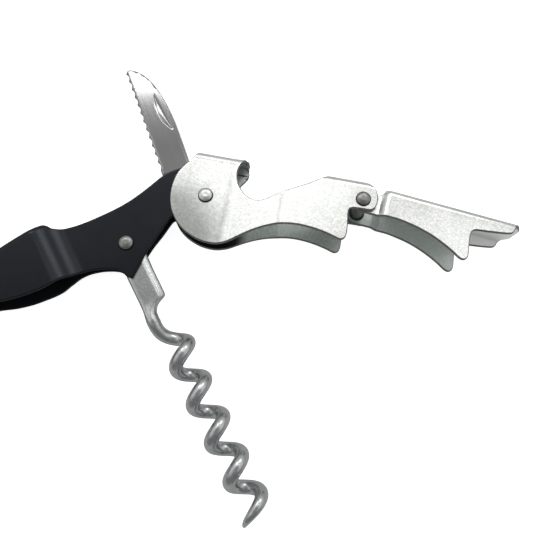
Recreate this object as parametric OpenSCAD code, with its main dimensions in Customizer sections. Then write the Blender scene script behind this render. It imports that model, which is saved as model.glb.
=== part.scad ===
// Double-lever waiter's corkscrew, lying on its side with every tool open.
// A folded sheet-steel handle carries a serrated foil knife, a helical worm
// and a two-stage lever. All the hinge axes run along Z; the handle's head
// pivot is the design origin, and place() moves the whole object so that
// the middle of its base is at 0,0,0.

/* [Handle] */
// Thickness of the folded handle sheet
handle_t = 0.9; // [0.7:0.1:0.9]
// Half of the slot between the plates at the pivots
slot_half = 1.3; // [1.3:0.05:1.35]
// Half of the hollow for the worm in the wide part
bay_half = 4.3; // [4.3:0.05:4.35]
// Distance from the head pivot to the start of the step between narrow and wide
jog_near = 35.1; // [34.6:0.1:35.6]
// Distance from the head pivot to the end of that step
jog_far = 38.9; // [38.4:0.1:39.4]

/* [Levers] */
// Thickness of the lever sheet
lever_t = 0.9; // [0.7:0.1:0.9]
// Gap between faces that slide past each other
gap = 0.1; // [0.1:0.05:0.15]
// Radius of the ears of the lower lever
ear_r = 2.7; // [2.4:0.1:2.8]

/* [Rivets] */
// Radius of every rivet shank
pin_r = 1.5; // [1.3:0.05:1.55]
// Radial clearance of a piece that turns on a rivet
run = 0.05; // [0.03:0.01:0.08]
// Radius of the domed rivet heads
head_r = 1.8; // [1.7:0.05:1.9]
// Height of the domed rivet heads
head_h = 0.9; // [0.6:0.1:1.0]

/* [Worm] */
// Radius of the worm's wire
wire_r = 1.6; // [1.3:0.05:1.6]
// Radius of the wire's centre line
coil_r = 2.6; // [2.3:0.05:2.6]
// Length of one turn
pitch = 9.25; // [8.8:0.05:9.6]
// Number of turns
turns = 5; // [4:0.5:5]
// Half width of the flat shank
shank_half = 3.15; // [2.8:0.05:3.2]

/* [Knife] */
// Blade thickness
blade_t = 1.2; // [0.8:0.1:1.2]
// Depth of the scallops in the edge
scallop = 0.45; // [0.3:0.05:0.5]
// Spacing of the scallops
tooth = 2.36; // [2.2:0.02:2.4]

/* [Hidden] */
// Which piece to build
$fn = 48;
eps = 0.01;
black = [0.13, 0.135, 0.145];
steel = [0.80, 0.82, 0.80];
grey = [0.50, 0.51, 0.52];

// angles of the pieces' own frames about Z
handle_a = 27.6;
upper_a = -10.2;
lower_a = -15;
knife_a = 110.7;
worm_a = -62.5;

// pivots: the head pivot is 0,0
joint_l = [37.1, 4.9];          // in the upper lever's frame
worm_l = [-21.8, -1.8];         // in the handle's frame
joint = turn(joint_l, upper_a);
worm_p = turn(worm_l, handle_a);

// half widths, inner and outer, from the slot outwards
narrow_out = slot_half + handle_t;
bay_out = bay_half + handle_t;
head_in = narrow_out + gap;
head_out = head_in + lever_t;
rear_in = bay_out + gap;
rear_out = rear_in + lever_t;
ear_out = rear_in - gap;
ear_in = ear_out - lever_t;

// the middle of the base of the whole object
base = [-8.32, -20.175, -(rear_out + head_h)];

function turn(p, a) = [p[0]*cos(a) - p[1]*sin(a), p[0]*sin(a) + p[1]*cos(a)];
function at(l, i) = l[max(0, min(len(l) - 1, i))];
// smooth curve through the points l, n steps between each two
function cr(a, b, c, d, t) = 0.5 * (2*b + (c - a)*t + (2*a - 5*b + 4*c - d)*t*t + (3*b - a - 3*c + d)*t*t*t);
function smooth(l, n) = concat(
    [for (i = [0:len(l) - 2]) for (k = [0:n - 1]) cr(at(l, i - 1), l[i], l[i + 1], at(l, i + 2), k/n)],
    [l[len(l) - 1]]);
function unit(v) = v / norm(v);
function along(l, i) = unit(at(l, i + 1) - at(l, i - 1));
// the same curve moved d to its right
function shift(l, d) = [for (i = [0:len(l) - 1]) let (t = along(l, i)) l[i] + d*[t[1], -t[0]]];
function back(l) = [for (i = [len(l) - 1:-1:0]) l[i]];
function clamp01(x) = max(0, min(1, x));

module place() translate([-base[0], -base[1], -base[2]]) children();
module slab(h) linear_extrude(height = 2*h, center = true) children();
// a section drawn in X and Z, extruded along Y
module plan() rotate([90, 0, 0]) linear_extrude(height = 240, center = true) children();
// two plates between an inner and an outer line of [x, half width]
module bands(inner, outer) for (s = [1, -1])
    polygon([for (p = concat(inner, back(outer))) [p[0], s*p[1]]]);

// ---------------------------------------------------------------- handle
narrow_top = [[-36.4, 9.3], [-35, 8.7], [-33.6, 8.1], [-30.6, 7.4], [-27.5, 7.0], [-24.3, 6.8],
    [-21.1, 6.8], [-17.7, 7.0], [-14.1, 7.6], [-10.3, 8.5], [-7.2, 9.3], [-4.5, 9.5], [-1.5, 9.1]];
narrow_head = [[-1.5, 9.1], [1.5, 7.9], [4.4, 5.9], [6.3, 3.2], [7.0, 0.2], [6.5, -2.6],
    [4.9, -5.0], [2.2, -6.6], [-1, -6.7], [-4, -5.2], [-6.3, -2.8], [-8.2, -1.3]];
narrow_slant = [[-8.2, -1.5], [-9.2, -1.3], [-10.7, -2.0], [-14.6, -4.3], [-18.9, -6.9], [-23.3, -9.9]];
narrow_low = [[-24.2, -10.3], [-25, -9.6], [-25.5, -8.2], [-26.3, -7.0], [-28.2, -5.8], [-30.8, -4.7],
    [-33, -4.1], [-35.1, -3.7], [-36.5, -3.5]];
wide_top = [[-36.8, 9.4], [-37.5, 10.2], [-38.4, 10.5], [-41.5, 10.2], [-44.8, 9.8], [-48.1, 9.3],
    [-55, 8.0], [-62, 6.9], [-70, 5.9], [-80, 5.1], [-90, 4.6], [-97, 3.9], [-101.8, 2.4],
    [-104.6, -0.2], [-105.2, -2.6]];
wide_low = [[-105.2, -2.6], [-104.2, -4.6], [-101, -5.6], [-96, -5.6], [-91, -5.1], [-85, -4.2],
    [-79, -3.0], [-73, -1.6], [-68, -0.5], [-64, 0.0], [-60, -0.2], [-56.2, -1.0], [-54, -1.8], [-52, -2.5], [-50, -3.0],
    [-48, -3.4], [-45.5, -3.8], [-42.8, -4.0], [-40.5, -3.9], [-38.5, -3.7], [-35.1, -3.7]];
spine_curve = smooth([for (p = wide_top) if (p[0] < -41) p], 4);

module narrow_outline() polygon(concat(smooth(narrow_top, 2), smooth(narrow_head, 2),
    smooth(narrow_slant, 2), smooth(narrow_low, 2)));
module wide_outline() polygon(concat([[-34.2, 8.3]], smooth(wide_top, 3), smooth(wide_low, 2), [[-34.2, -3.6]]));

module handle_shell() color(black) place() rotate([0, 0, handle_a]) difference() {
    union() {
        intersection() {
            slab(bay_out + 1) union() { narrow_outline(); wide_outline(); }
            plan() bands(
                [[12, slot_half], [-jog_near, slot_half], [-jog_far, bay_half], [-110, bay_half]],
                [[12, narrow_out], [-jog_near + 0.45, narrow_out], [-jog_far + 0.45, bay_out], [-110, bay_out]]);
        }
        // closed back of the wide part, carried round the tail
        slab(bay_out) polygon(concat(spine_curve, back(shift(spine_curve, -handle_t))));
    }
    cylinder(h = 20, r = pin_r + run, center = true);
    translate([worm_l[0], worm_l[1], 0]) cylinder(h = 20, r = pin_r, center = true);
}

// ---------------------------------------------------------------- levers
upper_head = [[-4.3, 10.4], [-5.4, 8.3], [-7.0, 6.2], [-8.1, 3.8], [-8.5, 0.9], [-8.3, -2.0], [-7.5, -4.6], [-6.4, -6.5],
    [-4.9, -8.3], [-2.9, -9.8], [-0.4, -10.9], [1.9, -11.4], [4.5, -11.4], [6.9, -10.6], [9.1, -9.2],
    [11.4, -7.7], [13.8, -6.4], [16.2, -5.4], [18.6, -4.7], [21.6, -4.2], [24.8, -4.2], [28, -4.6],
    [31.0, -5.3], [32.8, -5.9]];
upper_tooth = [[32.8, -5.9], [33.7, -5.8], [34.4, -4.9], [34.5, -3.2], [34.3, -0.6], [34.1, 1.0], [34.3, 1.9], [35.1, 2.3]];
upper_ear = [[35.1, 2.3], [37.1, 2.4], [38.8, 2.4], [40.0, 3.0], [40.5, 4.4], [40.5, 6.0], [40.0, 7.5], [39.0, 8.6], [37.6, 9.4], [36.2, 9.7]];
upper_slope = [[28.3, 9.7], [27.6, 9.3], [26.9, 8.6], [24.3, 6.9], [21.3, 5.2], [18.4, 3.6], [15.5, 1.9], [14.0, 1.0],
    [12.5, 0.5], [10.8, 0.9], [9.3, 1.7], [8.2, 2.8], [7.3, 4.0], [6.7, 5.5], [6.4, 7.0], [6.5, 8.4],
    [7.1, 9.6], [8.3, 11.0]];
module upper_outline() polygon(concat(smooth(upper_head, 2), smooth(upper_tooth, 3), smooth(upper_ear, 2),
    smooth(upper_slope, 2), [[-3.9, 11.0]]));

module upper_lever() color(steel) place() rotate([0, 0, upper_a]) difference() {
    union() {
        intersection() {
            slab(rear_out + 1) upper_outline();
            plan() bands(
                [[-14, head_in], [6, head_in], [18, rear_in], [48, rear_in]],
                [[-14, head_out], [6.1, head_out], [18.1, rear_out], [48, rear_out]]);
        }
        // closed back over the head, ending in the cap-lifting lip
        intersection() {
            slab(rear_out + 1) polygon([[-4.1, 10.6], [-3.9, 11.0], [8.6, 11.0], [8.9, 10.6], [8.5, 10.1], [-4.3, 10.1]]);
            plan() polygon([[-14, -head_out], [6.1, -head_out], [10, -head_out - 0.6], [10, head_out + 0.6], [6.1, head_out], [-14, head_out]]);
        }
        // closed back towards the joint
        slab(rear_out) polygon([[27.7, 9.4], [28.3, 9.7], [36.6, 9.7], [37.4, 9.4], [37.4, 8.8], [27.3, 8.8]]);
    }
    cylinder(h = 20, r = pin_r + run, center = true);
    translate([joint_l[0], joint_l[1], 0]) cylinder(h = 20, r = pin_r, center = true);
}

lower_foot = [[4.1, -2.7], [6.2, -2.7], [8.6, -2.7], [11.1, -3.0], [14.3, -3.6], [17.6, -4.6], [20.9, -6.0], [23.3, -7.3]];
lower_tooth = [[23.3, -7.3], [24.6, -8.1], [25.7, -8.3], [26.5, -7.6], [26.6, -6.3], [26.3, -3.8], [26.2, -1.9], [26.5, -0.8], [27.3, -0.3]];
lower_tip = [[27.3, -0.3], [29.5, 0.0], [32.6, 0.5], [35.2, 1.0], [35.9, 1.6], [36.2, 2.9], [36.4, 4.3]];
module lower_outline() polygon(concat([[0, -ear_r], [2, -2.7]], smooth(lower_foot, 2), smooth(lower_tooth, 3),
    smooth(lower_tip, 2), [[4.9, 4.3], [4.3, 4.0], [3.4, 3.3], [1.2, 2.6], [0, ear_r]]));

module lower_lever() color(steel) place() translate([joint[0], joint[1], 0]) rotate([0, 0, lower_a]) difference() {
    union() {
        intersection() {
            slab(rear_out + 1) union() { lower_outline(); circle(r = ear_r); }
            plan() bands(
                [[-6, ear_in], [4.2, ear_in], [5.6, rear_in], [48, rear_in]],
                [[-6, ear_out], [4.1, ear_out], [5.5, rear_out], [48, rear_out]]);
        }
        // closed back with a tapered tip
        intersection() {
            slab(rear_out + 1) polygon([[4.7, 3.9], [5.0, 4.3], [38.6, 4.3], [38.9, 3.9], [38.6, 3.4], [4.7, 3.4]]);
            plan() polygon([[4.2, -ear_out], [5.5, -rear_out], [35.6, -rear_out], [36.8, -5.4], [38.9, -2.6],
                [38.9, 2.6], [36.8, 5.4], [35.6, rear_out], [5.5, rear_out], [4.2, ear_out]]);
        }
    }
    cylinder(h = 20, r = pin_r + run, center = true);
}

// ---------------------------------------------------------------- knife
knife_back = [[10.4, 0.5], [14.9, 0.3], [19.3, 0.3], [22.7, 0.4], [26.4, 0.8], [29.6, 1.3], [32.6, 2.0],
    [35.1, 2.9], [37.0, 3.9], [38.7, 5.3], [39.8, 6.8], [39.8, 7.6], [39.0, 8.0]];
knife_root = [[9.6, 8.0], [8.6, 6.6], [6.4, 5.4], [3.2, 5.0], [-0.4, 4.4], [-3.2, 3.0], [-4.3, 0.4],
    [-3.6, -2.4], [-1.2, -4.1], [1.8, -4.0], [4.6, -2.4], [7.4, -0.3], [10.4, 0.5]];
nick_mid = [25.7, 2.3];
nick_r = 9.9;
nick_h = 1.7;

module knife_blade() color(grey) place() rotate([0, 0, knife_a]) difference() {
    intersection() {
        slab(blade_t) polygon(concat(smooth(knife_root, 2), smooth(knife_back, 3)));
        // section across the blade: flat back, ground towards the edge
        rotate([90, 0, 90]) linear_extrude(height = 120, center = true) polygon([
            [-8, -blade_t/2], [5.6, -blade_t/2], [8.1, -0.15], [8.1, 0.15], [5.6, blade_t/2], [-8, blade_t/2]]);
    }
    for (i = [0:11]) translate([11.0 + (i + 0.5)*tooth, 8.0 + sc_r - scallop, 0]) cylinder(h = 4, r = sc_r, center = true);
    cylinder(h = 20, r = pin_r + run, center = true);
    // nail nick in the upper face
    translate([nick_mid[0], nick_mid[1], blade_t/2 - 0.3]) rotate([0, 0, 8]) intersection() {
        translate([0, nick_h - nick_r, 0]) cylinder(h = 1, r = nick_r);
        translate([-8, 0, -0.5]) cube([16, 4, 2]);
    }
}
sc_r = (tooth*tooth/4 + scallop*scallop)/(2*scallop);

// ---------------------------------------------------------------- worm
half_turn_s = 22.9;             // where the wire has turned half way to the coil
ramp = 3.8;                     // half length of the run-in
worm_end = half_turn_s + turns*pitch;
taper = 6;
rate = 360/pitch;
function wa(s) = s < half_turn_s - ramp ? 0
    : s > half_turn_s + ramp ? rate*(s - half_turn_s)
    : rate*pow(s - half_turn_s + ramp, 2)/(4*ramp);
function wr(s) = s < 20 ? 1.25 + (wire_r - 1.25)*clamp01((s - 14)/6)
    : wire_r - (wire_r - 0.36)*pow(clamp01((s - worm_end + taper)/taper), 2.4);
function wc(s) = coil_r - 0.6*(1 - clamp01((s - 14)/8)) + (wire_r - wr(max(s, 20)));
function wp(s) = [s, -wc(s)*cos(wa(s)), -wc(s)*sin(wa(s))];
function wt(s) = unit(wp(s + 0.02) - wp(s - 0.02));
ring = 14;
steps = [for (i = [0:7]) 13.5 + i*0.8, for (i = [0:round(turns*22)]) 19.9 + i*(worm_end - 19.9)/round(turns*22)];
function ringpts(s) = let (t = wt(s), u = unit(cross(t, [0, -sin(wa(s)), cos(wa(s))])), v = cross(t, u), p = wp(s), r = wr(s))
    [for (k = [0:ring - 1]) p + r*cos(360*k/ring)*u + r*sin(360*k/ring)*v];
module wire() {
    n = len(steps);
    pts = [for (s = steps) each ringpts(s)];
    faces = concat(
        [[for (k = [0:ring - 1]) k]],
        [for (i = [0:n - 2]) for (k = [0:ring - 1]) each [
            [i*ring + k, (i + 1)*ring + k, (i + 1)*ring + (k + 1) % ring],
            [i*ring + k, (i + 1)*ring + (k + 1) % ring, i*ring + (k + 1) % ring]]],
        [[for (k = [ring - 1:-1:0]) (n - 1)*ring + k]]);
    polyhedron(points = pts, faces = faces, convexity = 10);
}
module worm() color(grey) place() translate([worm_p[0], worm_p[1], 0]) rotate([0, 0, worm_a]) difference() {
    union() {
        intersection() {
            slab(slot_half - 0.05) union() {
                circle(r = shank_half);
                polygon(concat([[0, shank_half], [0, -shank_half], [18.6, -shank_half], [20, -3.0]],
                    smooth([[20, -1.2], [19, -1.0], [17.8, -0.6], [16.7, 0.1], [15.9, 1.0], [15.4, 2.3], [14.6, shank_half]], 3)));
            }
            // section across the shank with chamfered edges
            rotate([90, 0, 90]) linear_extrude(height = 60, center = true) polygon([
                [-shank_half, -0.8], [-shank_half + 0.6, -1.3], [shank_half - 1.3, -1.3], [shank_half, -0.6],
                [shank_half, 0.6], [shank_half - 1.3, 1.3], [-shank_half + 0.6, 1.3], [-shank_half, 0.8]]);
        }
        wire();
    }
    cylinder(h = 20, r = pin_r + run, center = true);
}

// ---------------------------------------------------------------- rivets
dome_r = (head_r*head_r + head_h*head_h)/(2*head_h);
module dome(z) translate([0, 0, z]) rotate_extrude() intersection() {
    translate([0, head_h - dome_r]) circle(r = dome_r, $fn = 96);
    square([head_r + 1, head_h + 1]);
}
module rivet(h) {
    cylinder(h = 2*h, r = pin_r, center = true);
    dome(h);
    mirror([0, 0, 1]) dome(h);
}
module head_rivet() color(steel) place() rivet(head_out + 0.03);
module worm_rivet() color(steel) place() translate([worm_p[0], worm_p[1], 0]) rivet(narrow_out);
module joint_rivet() color(steel) place() translate([joint[0], joint[1], 0]) rivet(rear_out);

// thin washers that centre the blade between the handle plates
module washer(z) color(steel) place() translate([0, 0, z]) difference() {
    cylinder(h = slot_half - blade_t/2 - 0.1, r = 3.4, center = true);
    cylinder(h = 4, r = pin_r + run, center = true);
}
washer_z = (slot_half + blade_t/2)/2;
module knife_washer_front() washer(washer_z);
module knife_washer_rear() washer(-washer_z);

handle_shell();
upper_lever();
lower_lever();
knife_blade();
worm();
head_rivet();
worm_rivet();
joint_rivet();
knife_washer_front();
knife_washer_rear();
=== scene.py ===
import math

import bmesh
import bpy
import numpy as np
from mathutils import Matrix, Vector
from mathutils.bvhtree import BVHTree
from mathutils.geometry import delaunay_2d_cdt


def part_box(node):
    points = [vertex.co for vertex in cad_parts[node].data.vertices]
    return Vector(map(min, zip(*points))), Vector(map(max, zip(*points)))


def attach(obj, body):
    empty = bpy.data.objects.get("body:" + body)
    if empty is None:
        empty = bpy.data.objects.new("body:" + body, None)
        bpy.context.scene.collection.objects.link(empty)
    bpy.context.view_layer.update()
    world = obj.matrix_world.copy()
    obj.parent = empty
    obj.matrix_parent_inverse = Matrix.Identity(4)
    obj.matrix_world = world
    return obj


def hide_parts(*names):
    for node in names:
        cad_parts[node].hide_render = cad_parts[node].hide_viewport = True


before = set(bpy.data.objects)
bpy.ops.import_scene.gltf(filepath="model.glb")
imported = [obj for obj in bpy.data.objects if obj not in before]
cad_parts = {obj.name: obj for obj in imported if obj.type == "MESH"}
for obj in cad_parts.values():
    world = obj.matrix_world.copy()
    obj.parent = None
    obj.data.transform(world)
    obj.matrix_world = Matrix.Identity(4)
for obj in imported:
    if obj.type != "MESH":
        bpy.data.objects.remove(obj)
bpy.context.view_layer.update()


def mid(node):
    lo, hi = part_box(node)
    return (Vector(lo) + Vector(hi)) / 2


MM = 0.001
HEAD = mid("head_rivet")
JOINT = mid("joint_rivet")
WORM = mid("worm_rivet")
HANDLE_A, UPPER_A, LOWER_A, KNIFE_A, WORM_A = 27.6, -10.2, -15.0, 110.7, -62.5


# ------------------------------------------------------------------ curves
def catmull(l, n):
    out = []
    at = lambda i: np.array(l[max(0, min(len(l) - 1, i))], float)
    for i in range(len(l) - 1):
        a, b, c, d = at(i - 1), at(i), at(i + 1), at(i + 2)
        for k in range(n):
            t = k / n
            out.append(0.5 * (2 * b + (c - a) * t + (2 * a - 5 * b + 4 * c - d) * t * t + (3 * b - a - 3 * c + d) * t ** 3))
    out.append(np.array(l[-1], float))
    return out


def path(*parts):
    """One list of points from several, without the doubled ends."""
    out = []
    for p in parts:
        for q in p:
            q = np.array(q, float)
            if not out or np.linalg.norm(q - out[-1]) > 0.02:
                out.append(q)
    return out


def resample(points, step, closed=True, corner=28.0):
    """Even spacing along the line, with its sharp corners kept."""
    p = [np.array(q, float) for q in points]
    if closed and np.linalg.norm(p[0] - p[-1]) < 0.02:
        p.pop()
    n = len(p)
    sharp = []
    for i in range(n):
        if not closed and i in (0, n - 1):
            sharp.append(i)
            continue
        a, b = p[i] - p[i - 1], p[(i + 1) % n] - p[i]
        turn = abs(math.degrees(math.atan2(a[0] * b[1] - a[1] * b[0], a @ b)))
        if turn > corner:
            sharp.append(i)
    if not sharp:
        sharp = [0]
    out = []
    spans = len(sharp) if closed else len(sharp) - 1
    for k in range(spans):
        i, j = sharp[k], sharp[(k + 1) % len(sharp)]
        if closed and j <= i:
            j += n
        seg = np.array([p[m % n] for m in range(i, j + 1)])
        d = np.concatenate([[0], np.cumsum(np.linalg.norm(np.diff(seg, axis=0), axis=1))])
        m = max(1, int(round(d[-1] / step)))
        s = np.linspace(0, d[-1], m + 1)[:-1]
        out += [np.array([np.interp(v, d, seg[:, 0]), np.interp(v, d, seg[:, 1])]) for v in s]
    if not closed:
        out.append(p[-1])
    return np.array(out)


def ccw(loop):
    x, y = loop[:, 0], loop[:, 1]
    area = np.sum(x * np.roll(y, -1) - np.roll(x, -1) * y)
    return loop if area > 0 else loop[::-1].copy()


def circle(c, r, n=40):
    a = np.arange(n) * 2 * math.pi / n
    return np.stack([c[0] + r * np.cos(a), c[1] + r * np.sin(a)], 1)


def inside(points, loop):
    x, y = points[:, 0][:, None], points[:, 1][:, None]
    x0, y0 = loop[:, 0][None], loop[:, 1][None]
    x1, y1 = np.roll(loop[:, 0], -1)[None], np.roll(loop[:, 1], -1)[None]
    cross = (y0 > y) != (y1 > y)
    with np.errstate(divide="ignore", invalid="ignore"):
        xi = x0 + (y - y0) * (x1 - x0) / (y1 - y0)
    return (np.sum(cross & (x < xi), axis=1) % 2) == 1


def distance(points, loop, closed=True):
    a = loop
    b = np.roll(loop, -1, axis=0)
    if not closed:
        a, b = a[:-1], b[:-1]
    best = np.full(len(points), 1e9)
    for k in range(0, len(points), 2000):
        p = points[k:k + 2000][:, None, :]
        ab = (b - a)[None]
        t = np.clip(np.sum((p - a[None]) * ab, -1) / np.maximum(np.sum(ab * ab, -1), 1e-12), 0, 1)
        q = a[None] + ab * t[..., None]
        best[k:k + 2000] = np.min(np.linalg.norm(p - q, axis=-1), axis=1)
    return best


def fill(outer, holes, xs, ys, inset=0.4, extra=None):
    """Triangulates the space inside outer and outside holes, with a row of
    points along every edge and a lattice of points inside."""
    outer = ccw(np.array(outer, float))
    loops = [outer] + [ccw(np.array(h, float))[::-1].copy() for h in holes]
    cand = []
    for l in loops:
        t = np.roll(l, -1, axis=0) - np.roll(l, 1, axis=0)
        t /= np.maximum(np.linalg.norm(t, axis=1), 1e-9)[:, None]
        cand.append(l + inset * np.stack([-t[:, 1], t[:, 0]], 1))
    rim = np.concatenate(cand)
    gx, gy = np.meshgrid(xs, ys)
    grid = np.stack([gx.ravel(), gy.ravel()], 1)
    if extra is not None and len(extra):
        grid = np.concatenate([np.array(extra, float), grid])

    def keep(p, m):
        ok = inside(p, outer)
        for h in loops[1:]:
            ok &= ~inside(p, h)
        p = p[ok]
        d = np.min([distance(p, l) for l in loops], axis=0)
        return p[d > m]

    rim = keep(rim, inset * 0.85)
    grid = keep(grid, inset * 1.5)
    if len(rim) and len(grid):
        ne = 0 if extra is None else len(extra)
        gap = np.full(len(grid), 1e9)
        for k in range(0, len(grid), 1500):
            gap[k:k + 1500] = np.min(np.linalg.norm(grid[k:k + 1500][:, None] - rim[None], axis=-1), axis=1)
        grid = grid[gap > inset * 0.45]
    pts, edges = [], []
    for l in loops:
        b = len(pts)
        pts += [tuple(q) for q in l]
        edges += [(b + i, b + (i + 1) % len(l)) for i in range(len(l))]
    pts += [tuple(q) for q in rim] + [tuple(q) for q in grid]
    v, _, f, *_ = delaunay_2d_cdt([Vector(q) for q in pts], edges, [], 1, 1e-5)
    v = np.array([tuple(q) for q in v])
    f = np.array([t for t in f if len(t) == 3])
    c = v[f].mean(axis=1)
    ok = inside(c, outer)
    for h in loops[1:]:
        ok &= ~inside(c, h)
    f = f[ok]
    a, b, c = v[f[:, 0]], v[f[:, 1]], v[f[:, 2]]
    area = (b[:, 0] - a[:, 0]) * (c[:, 1] - a[:, 1]) - (b[:, 1] - a[:, 1]) * (c[:, 0] - a[:, 0])
    f[area < 0] = f[area < 0][:, ::-1]
    return v, f[np.abs(area) > 1e-5]


def soft(x, x0, x1, z0, z1, w, w1=None):
    """A straight slope between two levels with rounded corners of half width w."""
    m = (z1 - z0) / (x1 - x0)

    w1 = w1 or w

    def sp(t, w):
        return np.where(t < -w, 0, np.where(t > w, t, (t + w) ** 2 / (4 * w)))

    return z0 + m * (sp(x - x0, w) - sp(x - x1, w1))


# ------------------------------------------------------------------ meshes
def to_row(p, angle, origin):
    """Points of a piece's own frame, in mm, to the row frame, in metres."""
    c, s = math.cos(math.radians(angle)), math.sin(math.radians(angle))
    p = np.asarray(p, float)
    out = np.empty_like(p)
    out[:, 0] = p[:, 0] * c - p[:, 1] * s
    out[:, 1] = p[:, 0] * s + p[:, 1] * c
    out[:, 2] = p[:, 2]
    return out * MM + np.array(origin)[None]


def make(name, verts, faces, weld=None):
    me = bpy.data.meshes.new(name)
    me.from_pydata([tuple(v) for v in verts], [], [tuple(int(i) for i in f) for f in faces])
    bm = bmesh.new()
    bm.from_mesh(me)
    if weld:
        bmesh.ops.remove_doubles(bm, verts=bm.verts, dist=weld)
    bmesh.ops.dissolve_degenerate(bm, dist=1e-7, edges=bm.edges)
    for f in bm.faces:
        f.smooth = True
    bm.to_mesh(me)
    bm.free()
    me.update()
    ob = bpy.data.objects.new(name, me)
    bpy.context.scene.collection.objects.link(ob)
    return ob


def finish_sheet(ob, thickness, bevel, rim=0, segments=2):
    m = ob.modifiers.new("thickness", "SOLIDIFY")
    m.thickness = thickness * MM
    m.offset = -1
    m.use_even_offset = True
    m.use_quality_normals = True
    m.material_offset = 1
    m.material_offset_rim = rim
    n = len(ob.data.vertices)
    bake(ob)
    v = ob.data.vertices
    limit = 1.3 * thickness * MM
    for i in range(n):
        d = v[i + n].co - v[i].co
        if d.length > limit:
            v[i + n].co = v[i].co + d * (limit / d.length)
    plain_sheet = BVHTree.FromPolygons([x.co.copy() for x in ob.data.vertices], [tuple(f.vertices) for f in ob.data.polygons])
    b = ob.modifiers.new("edges", "BEVEL")
    b.width = bevel * MM
    b.segments = segments
    b.limit_method = "ANGLE"
    b.angle_limit = math.radians(52)
    b.use_clamp_overlap = False
    b.material = 2 if rim == 2 else -1
    bake(ob)
    for x in ob.data.vertices:
        near = plain_sheet.find_nearest(x.co)
        if near[3] > 0.5 * bevel * MM:
            x.co = near[0]
    w = ob.modifiers.new("normals", "WEIGHTED_NORMAL")
    w.weight = 60
    w.keep_sharp = False
    bake(ob)


def bake(ob):
    """The modifiers' result becomes the piece's own mesh."""
    bpy.context.view_layer.update()
    dg = bpy.context.evaluated_depsgraph_get()
    me = bpy.data.meshes.new_from_object(ob.evaluated_get(dg), preserve_all_data_layers=True, depsgraph=dg)
    ob.modifiers.clear()
    old = ob.data
    ob.data = me
    me.name = ob.name
    bpy.data.meshes.remove(old)


def sheet(name, charts, angle, origin, thickness, bevel, outer, inner, rim=0, far=None):
    """A folded sheet: half of its outer surface, the same half mirrored to
    the far side, then its thickness and its rounded edges."""
    verts, faces = [], []
    base = 0
    for v2, f, fold in charts:
        p = fold(v2)
        for side in (1, -1):
            q = p.copy()
            q[:, 2] *= side
            if far is not None and side == -1:
                q = far(q, v2)
            verts.append(q)
            faces.append((f if side == 1 else f[:, ::-1]) + base)
            base += len(q)
    verts = to_row(np.concatenate(verts), angle, origin)
    ob = make(name, verts, np.concatenate(faces), weld=0.02 * MM)
    ob.data.materials.append(MAT[outer])
    ob.data.materials.append(MAT[inner])
    # a third material on the rims and bevels: painted shade along the edges
    if rim == 2:
        ob.data.materials.append(MAT["edge"])
    finish_sheet(ob, thickness, bevel, rim)
    return ob


# ------------------------------------------------------------------ materials
def nodes_of(name):
    m = bpy.data.materials.new(name)
    m.use_nodes = True
    nt = m.node_tree
    nt.nodes.clear()
    out = nt.nodes.new("ShaderNodeOutputMaterial")
    b = nt.nodes.new("ShaderNodeBsdfPrincipled")
    nt.links.new(b.outputs[0], out.inputs[0])
    return m, nt, b


def node(nt, kind, **values):
    n = nt.nodes.new(kind)
    for k, v in values.items():
        if hasattr(n, k):
            setattr(n, k, v)
        else:
            n.inputs[k].default_value = v
    return n


def coords(nt, scale=(1, 1, 1), turn=0.0):
    tc = node(nt, "ShaderNodeTexCoord")
    mp = node(nt, "ShaderNodeMapping")
    mp.inputs["Scale"].default_value = scale
    mp.inputs["Rotation"].default_value = (0, 0, turn)
    nt.links.new(tc.outputs["Object"], mp.inputs["Vector"])
    return mp.outputs["Vector"]


def noise(nt, vec, scale, detail=4.0, rough=0.55):
    n = node(nt, "ShaderNodeTexNoise")
    n.inputs["Scale"].default_value = scale
    n.inputs["Detail"].default_value = detail
    n.inputs["Roughness"].default_value = rough
    nt.links.new(vec, n.inputs["Vector"])
    return n.outputs["Fac"]


def ramp(nt, fac, stops):
    r = node(nt, "ShaderNodeValToRGB")
    e = r.color_ramp.elements
    while len(e) < len(stops):
        e.new(0.5)
    for k, (pos, col) in enumerate(stops):
        e[k].position = pos
        e[k].color = (*col, 1) if len(col) == 3 else col
    nt.links.new(fac, r.inputs["Fac"])
    return r.outputs["Color"]


def mathn(nt, op, a, b=None, c=None):
    n = node(nt, "ShaderNodeMath")
    n.operation = op
    for k, v in enumerate((a, b, c)):
        if v is None:
            continue
        if isinstance(v, (int, float)):
            n.inputs[k].default_value = v
        else:
            nt.links.new(v, n.inputs[k])
    return n.outputs[0]


def mix(nt, fac, a, b, kind="MIX"):
    n = node(nt, "ShaderNodeMix")
    n.data_type = "RGBA"
    n.blend_type = kind
    if isinstance(fac, (int, float)):
        n.inputs["Factor"].default_value = fac
    else:
        nt.links.new(fac, n.inputs["Factor"])
    for slot, v in ((6, a), (7, b)):
        if isinstance(v, tuple):
            n.inputs[slot].default_value = (*v, 1) if len(v) == 3 else v
        else:
            nt.links.new(v, n.inputs[slot])
    return n.outputs[2]


def bump(nt, bsdf, layers):
    """Adds bumps, each of (height socket, distance in mm, strength)."""
    last = None
    for height, dist, strength in layers:
        n = node(nt, "ShaderNodeBump")
        n.inputs["Distance"].default_value = dist * MM
        n.inputs["Strength"].default_value = strength
        nt.links.new(height, n.inputs["Height"])
        if last is not None:
            nt.links.new(last, n.inputs["Normal"])
        last = n.outputs["Normal"]
    nt.links.new(last, bsdf.inputs["Normal"])


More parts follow.
